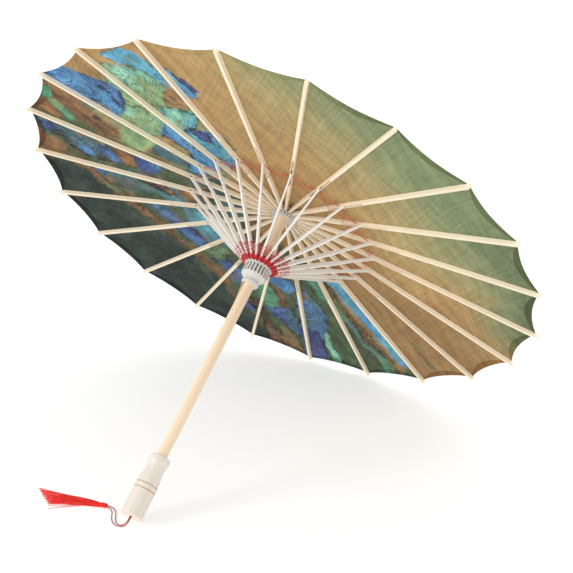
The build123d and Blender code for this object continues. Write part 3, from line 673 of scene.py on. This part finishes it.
# ---- materials ----
class Shader:
    """A small helper that adds nodes to a material and joins them up."""

    def __init__(self, name, roughness, **sockets):
        self.material = bpy.data.materials.new(name)
        self.material.use_nodes = True
        self.nodes = self.material.node_tree.nodes
        self.links = self.material.node_tree.links
        self.surface = self.nodes["Principled BSDF"]
        self.surface.inputs["Roughness"].default_value = roughness
        for socket, value in sockets.items():
            self.surface.inputs[socket.replace("_", " ")].default_value = value

    def add(self, kind, inputs=None, **settings):
        node = self.nodes.new(kind)
        for key, value in settings.items():
            setattr(node, key, value)
        for key, value in (inputs or {}).items():
            if isinstance(value, bpy.types.NodeSocket):
                self.links.new(value, node.inputs[key])
            else:
                node.inputs[key].default_value = value
        return node

    def math(self, operation, a, b=0.0):
        return self.add("ShaderNodeMath", {0: a, 1: b}, operation=operation).outputs[0]

    def plus(self, a, b):
        return self.math("ADD", a, b)

    def times(self, a, b):
        return self.math("MULTIPLY", a, b)

    def vector(self, operation, a, b):
        return self.add("ShaderNodeVectorMath", {0: a, 1: b}, operation=operation).outputs

    def scaled(self, vector, by):
        return self.vector("MULTIPLY", vector, by)["Vector"]

    def noise(self, vector, scale=1.0, detail=2.0, roughness=0.5):
        inputs = {"Vector": vector, "Scale": scale, "Detail": detail, "Roughness": roughness}
        return self.add("ShaderNodeTexNoise", inputs).outputs["Fac"]

    def ranged(self, value, low, high, to_low=0.0, to_high=1.0):
        inputs = {"Value": value, "From Min": low, "From Max": high,
                  "To Min": to_low, "To Max": to_high}
        return self.add("ShaderNodeMapRange", inputs).outputs["Result"]

    def mixed(self, factor, a, b, blend="MIX"):
        """Mix of two colours, each a socket or sRGB from 0 to 255."""
        a, b = (c if isinstance(c, bpy.types.NodeSocket) else (*linear(c), 1.0) for c in (a, b))
        return self.add("ShaderNodeMix", {0: factor, 6: a, 7: b}, data_type="RGBA",
                        blend_type=blend).outputs[2]

    def attribute(self, name, output="Vector", kind="GEOMETRY"):
        node = self.add("ShaderNodeAttribute", attribute_name=name, attribute_type=kind)
        return node.outputs[output]

    def place(self):
        return self.add("ShaderNodeTexCoord").outputs["Object"]

    def turned(self, vector, degrees):
        """Plan coordinates turned about the shaft."""
        return self.add("ShaderNodeVectorRotate", {"Vector": vector, "Angle": radians(degrees)},
                        rotation_type="Z_AXIS").outputs["Vector"]

    def grain(self, stretch):
        """Coordinates that stretch noise along the direction in the piece's property grain."""
        along, place = self.attribute("grain", kind="OBJECT"), self.place()
        reach = self.vector("DOT_PRODUCT", place, along)["Value"]
        back = self.add("ShaderNodeVectorMath", {0: along, "Scale": self.times(reach, 1 / stretch - 1)},
                        operation="SCALE").outputs["Vector"]
        return self.vector("ADD", place, back)["Vector"]

    def use(self, socket, value):
        self.links.new(value, self.surface.inputs[socket])

    def bump(self, height, strength, distance):
        inputs = {"Height": height, "Strength": strength, "Distance": distance}
        self.use("Normal", self.add("ShaderNodeBump", inputs).outputs["Normal"])


def silk_material():
    """Painted silk: tint and brush marks from the piece, slubs and weave over them."""
    s = Shader("painted_silk", 0.7, Specular_IOR_Level=0.15)
    tint, brush, plan = s.attribute("tint", "Color"), s.attribute("brush"), s.attribute("plan")
    _, across, carries = s.add("ShaderNodeSeparateXYZ", {0: brush}).outputs
    sway = s.noise(s.scaled(brush, (0.03, 0.05, 0.0)), detail=3.0)
    ridge = s.math("PINGPONG", s.plus(s.times(across, 0.16), s.times(sway, 4.2)), 0.5)
    broken = s.noise(s.scaled(brush, (0.07, 0.16, 0.0)))
    line = s.times(s.ranged(ridge, 0.2, 0.04), s.ranged(broken, 0.4, 0.56))
    thin_line = s.ranged(s.noise(s.scaled(brush, (0.06, 0.5, 0.0))), 0.53, 0.63, 0.0, 0.5)
    ink = s.times(s.math("MAXIMUM", line, thin_line), carries)
    glow = s.times(s.ranged(ridge, 0.26, 0.5, 0.0, 0.2), carries)
    colour = s.mixed(glow, tint, (176, 206, 190))
    colour = s.mixed(s.times(ink, 0.95), colour, (26, 36, 52))
    warp = s.noise(s.scaled(plan, (0.75, 0.02, 0.0)), detail=3.0)
    weft = s.noise(s.scaled(plan, (0.02, 0.75, 0.0)), detail=3.0)
    curl = s.noise(s.scaled(plan, (0.008, 0.008, 0.0)), detail=1.0)
    curls = s.scaled(s.add("ShaderNodeCombineXYZ", {0: curl, 1: curl}).outputs[0], (60.0, 40.0, 0.0))
    bent = s.vector("ADD", plan, curls)["Vector"]
    falling = s.noise(s.scaled(s.turned(bent, 38), (0.3, 0.01, 0.0)), detail=4.0, roughness=0.7)
    rising = s.noise(s.scaled(s.turned(bent, -20), (0.09, 0.012, 0.0)), detail=4.0)
    slub = s.ranged(s.plus(warp, weft), 0.75, 1.25, 0.91, 1.09)
    cloth = s.times(slub, s.ranged(s.plus(falling, rising), 0.78, 1.22, 0.79, 1.18))
    grey = s.add("ShaderNodeCombineColor", {0: cloth, 1: cloth, 2: cloth}).outputs[0]
    s.use("Base Color", s.mixed(1.0, colour, grey, "MULTIPLY"))
    weave = s.noise(s.scaled(plan, (2.6, 2.6, 0.0)), detail=1.0)
    s.bump(s.plus(s.times(cloth, 0.6), s.times(weave, 0.4)), 0.5, 0.0005)
    return s.material


def wood_material(name, pale, deep, roughness, fibre=900.0, depth=0.35, coat=0.0):
    """Wood or bamboo with fibres along the piece's grain."""
    s = Shader(name, roughness, Coat_Weight=coat, Coat_Roughness=0.25)
    where = s.grain(60.0)
    fine, broad = s.noise(where, fibre, 4.0, 0.6), s.noise(where, fibre / 7)
    own = s.add("ShaderNodeObjectInfo").outputs["Random"]
    amount = s.plus(s.ranged(fine, 0.35, 0.75, 0.0, 0.5), s.ranged(broad, 0.35, 0.7, 0.0, 0.35))
    amount = s.plus(amount, s.ranged(own, 0.0, 1.0, -0.08, 0.12))
    s.use("Base Color", s.mixed(s.times(amount, depth * 2), pale, deep))
    s.use("Roughness", s.ranged(fine, 0.3, 0.7, roughness - 0.08, roughness + 0.1))
    s.bump(fine, 0.25, 0.0002)
    return s.material


def handle_material():
    """Whitened wood, tan in a narrow band at each of the two grooves and paler on the butt's end."""
    s = Shader("handle_wood", 0.36, Coat_Weight=0.3, Coat_Roughness=0.25)
    fine, broad = s.noise(s.grain(60.0), 500.0, 4.0, 0.6), s.noise(s.grain(12.0), 70.0)
    amount = s.plus(s.ranged(fine, 0.35, 0.75, 0.0, 0.35), s.ranged(broad, 0.35, 0.7, 0.0, 0.45))
    colour = s.mixed(amount, (232, 224, 213), (212, 199, 184))
    from_hinges = s.vector("SUBTRACT", s.place(), tuple(CENTRE))["Vector"]
    reach = s.vector("DOT_PRODUCT", from_hinges, tuple(SHAFT_AXIS))["Value"]
    for height in GROOVE_HEIGHTS:
        away = s.math("ABSOLUTE", s.math("SUBTRACT", reach, height))
        colour = s.mixed(s.ranged(away, 0.45 * MM, 0.95 * MM, 0.9, 0.0), colour, (186, 158, 112))
    colour = s.mixed(s.ranged(reach, BUTT_END, BUTT_END + 1.0 * MM, 0.8, 0.0), colour, (248, 228, 200))
    s.use("Base Color", colour)
    s.bump(fine, 0.2, 0.0002)
    return s.material


def paint_material(name, colour, roughness):
    """Thin brushed paint or lacquer on wood."""
    s = Shader(name, roughness, Coat_Weight=0.15, Coat_Roughness=0.3)
    fine, patchy = s.noise(s.grain(25.0), 1300.0, 3.0), s.noise(s.place(), 160.0, 3.0)
    wear = s.plus(s.ranged(fine, 0.5, 0.8, 0.0, 0.35), s.ranged(patchy, 0.5, 0.8, 0.0, 0.3))
    s.use("Base Color", s.mixed(wear, colour, [c * 0.88 for c in colour]))
    s.bump(fine, 0.2, 0.00015)
    return s.material


def thread_material(name, colour, deep, sheen=0.3):
    """Twisted thread."""
    s = Shader(name, 0.55, Sheen_Weight=sheen)
    twist, broad = s.noise(s.place(), 2200.0), s.noise(s.place(), 160.0)
    amount = s.plus(s.ranged(twist, 0.4, 0.7, 0.0, 0.6), s.ranged(broad, 0.45, 0.7, 0.0, 0.5))
    s.use("Base Color", s.mixed(amount, colour, deep))
    s.bump(twist, 0.4, 0.0002)
    return s.material


def dress(node, material, along):
    """Gives a CAD node its material and the direction of its fibres."""
    piece = frame["nodes"][node]
    piece.data.materials.clear()
    piece.data.materials.append(material)
    piece["grain"] = [float(c) for c in along]


def out_along(k, slope):
    """Direction of a rib or strut, in the row frame."""
    a = azimuth(k)
    return np.array([cos(a) * cos(slope), sin(a) * cos(slope), sin(slope)]) @ LAY_DOWN


def dress_frame():
    bamboo = wood_material("bamboo", (250, 237, 212), (224, 196, 152), 0.42, 1500.0, 0.3)
    white_paint = paint_material("white_paint", (238, 234, 227), 0.5)
    lacquer = paint_material("grey_lacquer", (214, 212, 206), 0.4)
    shaft_wood = wood_material("shaft_wood", (250, 230, 203), (224, 190, 152), 0.42, 700.0, 0.3)
    handle_wood = handle_material()
    cap_wood = wood_material("cap_wood", (234, 228, 216), (214, 202, 182), 0.35, 500.0, 0.25, 0.3)
    peg_wood = wood_material("peg_wood", (214, 186, 142), (176, 140, 96), 0.5)
    thread = thread_material("hinge_thread", (214, 40, 44), (150, 16, 22))
    for k in range(RIB_COUNT):
        dress(f"rib_{k + 1:02d}", bamboo, out_along(k, -DROOP))
        dress(f"strut_{k + 1:02d}", white_paint, out_along(k, STRUT_RISE))
    for node, material in (("shaft", shaft_wood), ("handle", handle_wood), ("crown_cap", cap_wood),
                           ("crown_hub", lacquer), ("runner", lacquer), ("spring_catch", peg_wood)):
        dress(node, material, SHAFT_AXIS)
    for node, material in (("shaft_pegs", peg_wood), ("cord_peg", peg_wood), ("hub_thread", thread),
                           ("runner_thread", thread)):
        dress(node, material, SIDE_AXIS)


# ---- tassel ----
# Routes of the two strands, in the row frame, in millimetres.
CORD_ROUTES = {
    "tassel_cord_outer": [
        (0.75, -297.1, 13.5), (0.75, -303.3, 8.2), (0.2, -309.6, 2.8), (-5.5, -315.0, 0.8),
        (-15.0, -315.6, 0.8), (-24.5, -309.8, 0.8), (-31.5, -300.5, 0.8), (-36.8, -292.2, 0.9),
        (-43.7, -287.9, 2.5), (-49.6, -289.0, 3.2)],
    "tassel_cord_inner": [
        (-0.75, -297.1, 13.5), (-0.75, -303.0, 8.4), (-1.6, -308.6, 3.8), (-7.0, -312.6, 0.9),
        (-14.5, -312.0, 0.8), (-22.0, -305.0, 0.8), (-27.5, -296.5, 0.8), (-34.0, -288.0, 1.2),
        (-42.8, -284.6, 2.9), (-50.0, -287.0, 3.4)],
}
CORD_DIAMETER = 1.3 * MM


def make_cord(node, route, material):
    """A round strand on a smooth curve that its route pulls on."""
    curve = bpy.data.curves.new(node + "_strand", "CURVE")
    curve.dimensions = "3D"
    curve.bevel_depth = CORD_DIAMETER / 2
    curve.bevel_resolution = 4
    curve.resolution_u = 12
    curve.use_fill_caps = True
    spline = curve.splines.new("NURBS")
    spline.points.add(len(route) - 1)
    for point, place in zip(spline.points, route):
        point.co = (*(c * MM for c in place), 1)
    spline.order_u = 3
    spline.use_endpoint_u = True
    curve.materials.append(material)
    piece = new_object(node + "_strand", curve)
    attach(piece, "stick")
    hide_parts(node)


# The tassel, in the row frame, in millimetres. A line of the fan runs from its upper edge to its
# lower edge, and the lines go from the knot to the slanted ends.
FAN = (((-57.5, -287.0), (-57.5, -291.4)), ((-72.0, -285.3), (-74.0, -298.5)),
       ((-103.0, -290.3), (-96.0, -309.8)), ((-130.0, -295.8), (-112.0, -318.0)),
       ((-158.5, -301.0), (-121.5, -325.5)))
FAN_STRANDS, FAN_CLUMPS, CLUMPING = 96, 6, 0.085
FAN_HEIGHTS, FAN_FLOOR = (3.4, 3.2, 2.2, 1.5, 1.2), 0.75
STRAND_RADII, STRAND_LOWEST = (0.26, 0.42), 0.6
LOOSE_FROM, LOOSE_RADIUS = (-76, -298.5, 1.4), 0.34
LOOSE_STRANDS = (((-97, -312, 1.0), (-118, -327, 0.9)), ((-94, -313, 1.0), (-108.5, -329, 0.9)),
                 ((-95, -315, 1.0), (-112.5, -333, 0.9)))
KNOT_FROM, KNOT_TO = np.array((-49.6, -288.0, 3.7)), np.array((-59.2, -289.6, 3.5))
KNOT_TURNS, KNOT_THREAD, KNOT_CORE = 9, 0.62, 2.1


def smooth_path(points, steps):
    """Points along a smooth curve through the given ones."""
    points = np.asarray(points, float)
    padded = np.vstack([2 * points[0] - points[1], points, 2 * points[-1] - points[-2]])
    path = []
    for k in range(1, len(points)):
        a, b, c, d = padded[k - 1:k + 3]
        for t in np.linspace(0, 1, steps, endpoint=False):
            path.append(0.5 * (2 * b + (c - a) * t + (2 * a - 5 * b + 4 * c - d) * t ** 2
                               + (3 * b - a - 3 * c + d) * t ** 3))
    return np.array(path + [points[-1]])


def make_skirt(red):
    """Loose threads from the knot to slanted ends, in clumps, and three that strayed."""
    rng = np.random.default_rng(8)
    parts = []
    for number in range(FAN_STRANDS):
        share = (number + rng.uniform()) / FAN_STRANDS
        clump = share - CLUMPING * sin(share * 2 * pi * FAN_CLUMPS)
        drift = rng.uniform(-0.05, 0.05)
        level = rng.uniform()
        line = []
        for row, (upper, lower) in enumerate(FAN):
            place = np.clip((share, share, share, (share + clump) / 2, clump)[row]
                            + drift * (0, 1, -1, 0.6, 0.2)[row], 0, 1)
            x, y = np.array(upper) + (np.array(lower) - np.array(upper)) * place
            line.append((x, y, FAN_FLOOR + level * FAN_HEIGHTS[row]))
        last, before = np.array(line[-1]), np.array(line[-2])
        line[-1] = tuple(last - (last - before) * rng.uniform(0.0, 0.3) * (0.4 + share))
        path = smooth_path(line, 5)
        path[:, 2] = np.maximum(path[:, 2], STRAND_LOWEST)
        parts.append(tube(to_upright(path * MM), rng.uniform(*STRAND_RADII) * MM, 5))
    for turn, end in LOOSE_STRANDS:
        path = smooth_path([LOOSE_FROM, turn, end], 6)
        parts.append(tube(to_upright(path * MM), LOOSE_RADIUS * MM, 5))
    piece = add_mesh("tassel_fan", *join(parts), "stick", "red_thread", red)
    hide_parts("tassel_skirt")


def make_knot(red):
    """The head of the tassel: thread wound into a barrel round a solid core."""
    length = KNOT_TO - KNOT_FROM
    axis = length / np.linalg.norm(length)
    across = np.cross(axis, (0, 0, 1))
    across /= np.linalg.norm(across)
    above = np.cross(across, axis)
    path = []
    for t in np.linspace(0, 1, KNOT_TURNS * 14):
        a = 2 * pi * KNOT_TURNS * t
        radius = 1.7 + 1.15 * sin(pi * (0.12 + 0.8 * t)) ** 0.7
        path.append(KNOT_FROM + length * t + radius * (cos(a) * across + sin(a) * above))
    core = [KNOT_FROM + length * t for t in np.linspace(-0.04, 1.0, 7)]
    parts = [tube(to_upright(np.array(line) * MM), radius * MM, sides)
             for line, radius, sides in ((path, KNOT_THREAD, 7), (core, KNOT_CORE, 12))]
    piece = add_mesh("tassel_head", *join(parts), "stick", "red_thread", red)
    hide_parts("tassel_knot")
    return piece


def make_tassel():
    red = thread_material("tassel_thread", (255, 46, 26), (210, 20, 12), 0.0)
    head = make_knot(red)
    make_skirt(red)
    cord_red = thread_material("cord_thread", (176, 34, 26), (104, 16, 12), 0.0)
    for number, (node, route) in enumerate(CORD_ROUTES.items()):
        make_cord(node, route, cord_red)


# ---- floor, light and camera ----
CAMERA_PLACE = (0.75292, -1.29591, 0.79223)
CAMERA_AZIMUTH, CAMERA_ELEVATION, CAMERA_ROLL = radians(28.37), radians(19.92), radians(3.04)
CAMERA_LENS, CAMERA_FILM = 67.83, 36
KEY_DIRECTION = (0.62, 0.62, -0.48)     # from the camera's left
KEY_POWER, KEY_SPREAD = 0.9, radians(18)
FLOOR_HALF, FLOOR_GAP = 30.0, 0.3 * MM
FLOOR_COLOUR, FLOOR_GLOW = (0.62, 0.62, 0.615, 1), 0.46


def make_floor():
    mesh = bpy.data.meshes.new("floor")
    corners = [(x * FLOOR_HALF, y * FLOOR_HALF, 0) for x, y in ((-1, -1), (1, -1), (1, 1), (-1, 1))]
    mesh.from_pydata(corners, [], [(0, 1, 2, 3)])
    floor = new_object("floor", mesh)
    floor.location.z = -FLOOR_GAP
    s = Shader("pale_floor", 0.9, Base_Color=FLOOR_COLOUR, Emission_Color=(1, 1, 1, 1),
               Emission_Strength=FLOOR_GLOW, Specular_IOR_Level=0.1)
    mesh.materials.append(s.material)


def make_light():
    world = bpy.data.worlds.new("studio")
    world.use_nodes = True
    background = world.node_tree.nodes["Background"]
    background.inputs["Color"].default_value = (1, 1, 1, 1)
    background.inputs["Strength"].default_value = 1.0
    bpy.context.scene.world = world
    data = bpy.data.lights.new("key", "SUN")
    data.energy, data.angle = KEY_POWER, KEY_SPREAD
    key = new_object("key", data)
    key.rotation_mode = "QUATERNION"
    key.rotation_quaternion = Vector(KEY_DIRECTION).to_track_quat("-Z", "Y")


def make_camera():
    data = bpy.data.cameras.new("camera")
    data.lens, data.sensor_width = CAMERA_LENS, CAMERA_FILM
    camera = new_object("camera", data)
    camera.location = CAMERA_PLACE
    flat = cos(CAMERA_ELEVATION)
    back = Vector((sin(CAMERA_AZIMUTH) * flat, -cos(CAMERA_AZIMUTH) * flat, sin(CAMERA_ELEVATION)))
    camera.rotation_mode = "QUATERNION"
    level = (-back).to_track_quat("-Z", "Y")
    camera.rotation_quaternion = Matrix.Rotation(CAMERA_ROLL, 3, back).to_quaternion() @ level
    bpy.context.scene.camera = camera


make_camera()
make_floor()
make_light()
bpy.context.scene.view_settings.view_transform = "Standard"
dress_frame()
silk = silk_material()
make_canopy(silk)
make_crown_cloth(silk)
make_threads()
make_tassel()
